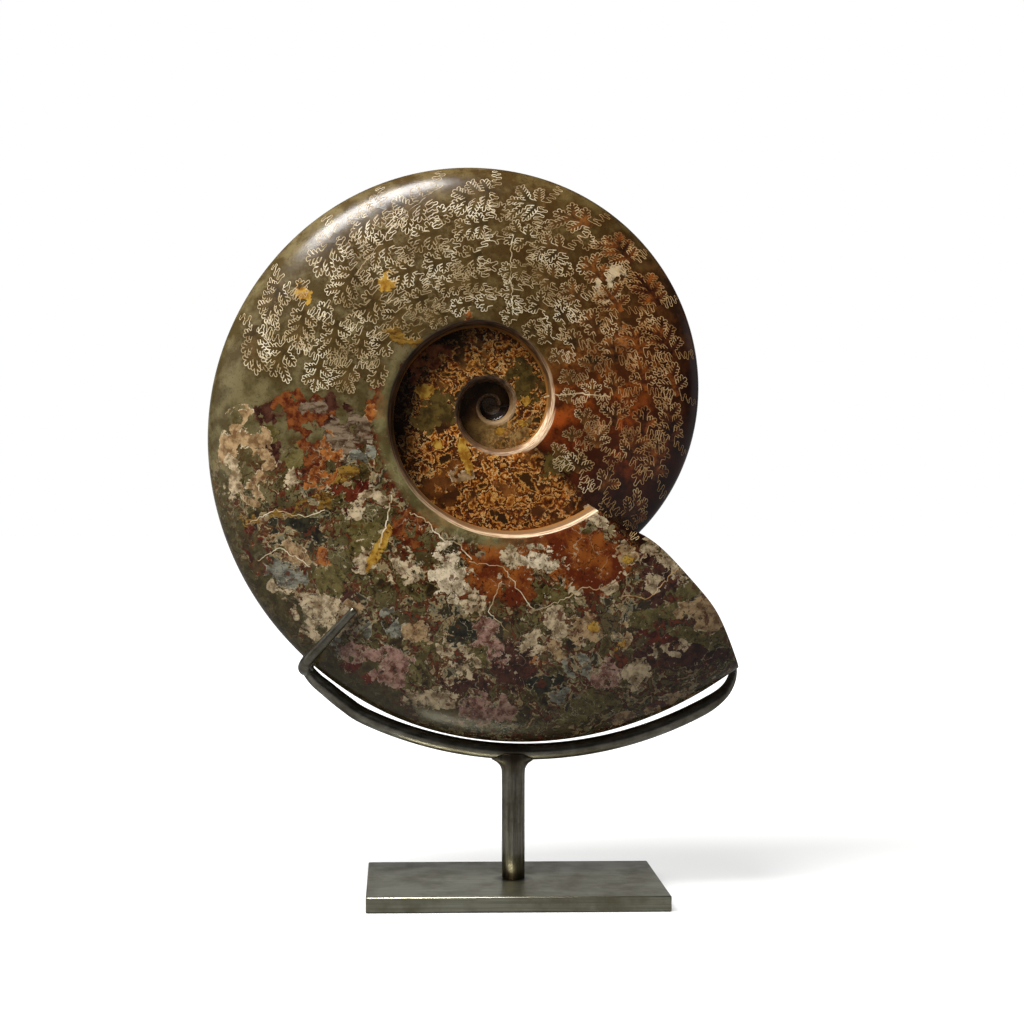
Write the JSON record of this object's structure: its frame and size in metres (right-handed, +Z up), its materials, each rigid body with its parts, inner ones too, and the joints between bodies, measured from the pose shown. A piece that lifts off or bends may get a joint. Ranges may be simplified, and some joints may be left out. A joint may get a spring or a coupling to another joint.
{
  "type": "ammonite fossil on stand",
  "caption": "Polished coiled ammonite fossil held upright by a curved rod cradle with slim prongs, on a round post and a flat rectangular base plate.",
  "frame": {"origin": "centre of the base plate's underside, which rests on the table", "axes": "+Z up; +X to the viewer's right, along the plate's long side; the side seen in the picture faces -Y"},
  "size_m": [0.2212, 0.0762, 0.3005],
  "materials": {
    "polished_fossil": "polished mineral-filled shell, glossy, olive green and rust with cream suture lines and mottled patches",
    "plate_steel": "satin ground steel with a warm grey patina",
    "rod_steel": "dark satin steel, ground smooth at the welds"
  },
  "bodies": {
    "root": {"ammonite": "polished_fossil", "base_plate": "plate_steel", "post": "rod_steel", "cradle": "rod_steel", "front_prong": "rod_steel", "rear_prong": "rod_steel"}
  },
  "joints": []
}
